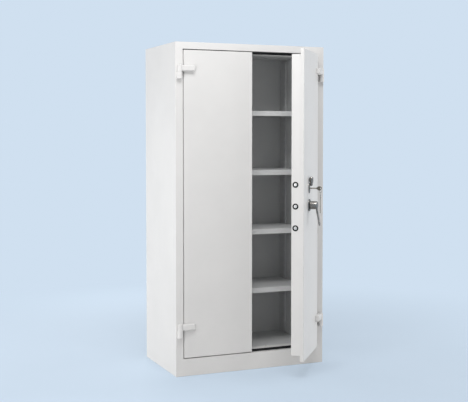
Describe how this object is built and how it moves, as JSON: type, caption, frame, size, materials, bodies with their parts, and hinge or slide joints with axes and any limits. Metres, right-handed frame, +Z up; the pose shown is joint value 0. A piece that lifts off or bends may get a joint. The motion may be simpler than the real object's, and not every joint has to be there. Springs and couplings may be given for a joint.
{
  "type": "fireproof file cabinet",
  "caption": "Tall fire-resistant steel file cabinet with insulated hinged doors, lever handle, key lock, sliding boltwork and adjustable shelves.",
  "frame": {"origin": "middle of the base, on the floor", "axes": "+X to the right seen from the front, +Y to the back, +Z up"},
  "size_m": [0.95, 0.9032, 1.92],
  "materials": {
    "paint": "satin",
    "inner_paint": "satin",
    "chrome": "polished",
    "steel": "satin",
    "dark_bush": "matte",
    "seal": "matte",
    "insulation": "matte"
  },
  "bodies": {
    "cabinet": {"outer_shell": "paint", "back_panel": "paint", "inner_liner": "inner_paint", "body_insulation": "insulation", "frame_seal": "seal", "rail_front_left": "inner_paint", "rail_rear_left": "inner_paint", "bracket_1_left": "inner_paint", "bracket_2_left": "inner_paint", "bracket_3_left": "inner_paint", "bracket_4_left": "inner_paint", "hinge_base_lower_left": "paint", "hinge_base_upper_left": "paint", "hinge_pin_lower_left": "steel", "hinge_pin_upper_left": "steel", "rail_front_right": "inner_paint", "rail_rear_right": "inner_paint", "bracket_1_right": "inner_paint", "bracket_2_right": "inner_paint", "bracket_3_right": "inner_paint", "bracket_4_right": "inner_paint", "hinge_base_lower_right": "paint", "hinge_base_upper_right": "paint", "hinge_pin_lower_right": "steel", "hinge_pin_upper_right": "steel", "shelf_1": "inner_paint", "shelf_2": "inner_paint", "shelf_3": "inner_paint", "shelf_4": "inner_paint"},
    "left_door": {"left_door_skin": "paint", "left_door_liner": "paint", "left_door_insulation": "insulation", "hinge_arm_lower_left": "paint", "hinge_arm_upper_left": "paint", "strike_plate": "steel"},
    "left_top_bolt": {"left_top_bolt": "steel"},
    "left_bottom_bolt": {"left_bottom_bolt": "steel"},
    "right_door": {"right_door_skin": "paint", "right_door_liner": "paint", "right_door_insulation": "insulation", "hinge_arm_lower_right": "paint", "hinge_arm_upper_right": "paint", "handle_rose": "chrome", "keyhole_plate": "chrome", "lock_case": "steel", "bolt_bush_upper": "dark_bush", "bolt_bush_middle": "dark_bush", "bolt_bush_lower": "dark_bush"},
    "handle": {"handle": "chrome", "handle_spindle": "steel", "drive_crank": "steel"},
    "bolt_carriage": {"bolt_bar": "steel", "bolt_upper": "steel", "bolt_middle": "steel", "bolt_lower": "steel"},
    "top_rod": {"top_rod": "steel"},
    "bottom_rod": {"bottom_rod": "steel"},
    "key": {"key": "steel"},
    "lock_bolt": {"lock_bolt": "steel"},
    "keyhole_cover": {"keyhole_cover": "chrome"}
  },
  "joints": [
    {"name": "left_door_hinge", "type": "hinge", "parent": "cabinet", "child": "left_door", "pos_m": [-0.4535, -0.291, 0.99], "axis": [0, 0, -1], "range_deg": [0, 180]},
    {"name": "right_door_hinge", "type": "hinge", "parent": "cabinet", "child": "right_door", "pos_m": [0.4535, -0.291, 0.99], "axis": [0, 0, 1], "range_deg": [-51.3, 128.7]},
    {"name": "left_top_bolt_slide", "type": "slide", "parent": "left_door", "child": "left_top_bolt", "axis": [0, 0, 1], "range_m": [0, 0.03]},
    {"name": "left_bottom_bolt_slide", "type": "slide", "parent": "left_door", "child": "left_bottom_bolt", "axis": [0, 0, -1], "range_m": [0, 0.03]},
    {"name": "handle_turn", "type": "hinge", "parent": "right_door", "child": "handle", "pos_m": [0.25532, -0.51278, 0.9865], "axis": [0.7804, -0.6252, 0], "range_deg": [0, 90]},
    {"name": "bolt_throw", "type": "slide", "parent": "right_door", "child": "bolt_carriage", "axis": [-0.6252, -0.7804, 0], "range_m": [0, 0.03]},
    {"name": "top_rod_slide", "type": "slide", "parent": "right_door", "child": "top_rod", "axis": [0, 0, 1], "range_m": [0, 0.03]},
    {"name": "bottom_rod_slide", "type": "slide", "parent": "right_door", "child": "bottom_rod", "axis": [0, 0, -1], "range_m": [0, 0.03]},
    {"name": "key_turn", "type": "hinge", "parent": "right_door", "child": "key", "pos_m": [0.25532, -0.51278, 1.084], "axis": [0.7804, -0.6252, 0], "range_deg": [0, 180]},
    {"name": "lock_bolt_slide", "type": "slide", "parent": "right_door", "child": "lock_bolt", "axis": [0, 0, -1], "range_m": [0, 0.016]},
    {"name": "keyhole_cover_swing", "type": "hinge", "parent": "right_door", "child": "keyhole_cover", "pos_m": [0.25532, -0.51278, 1.102], "axis": [0.7804, -0.6252, 0], "range_deg": [-100, 100]}
  ],
  "couplings": [
    {"joint": "bolt_throw", "follows": "handle_turn", "m_per_rad": 0.019099},
    {"joint": "top_rod_slide", "follows": "handle_turn", "m_per_rad": 0.019099},
    {"joint": "bottom_rod_slide", "follows": "handle_turn", "m_per_rad": 0.019099},
    {"joint": "key_turn", "follows": "lock_bolt_slide", "rad_per_m": 196.35}
  ]
}
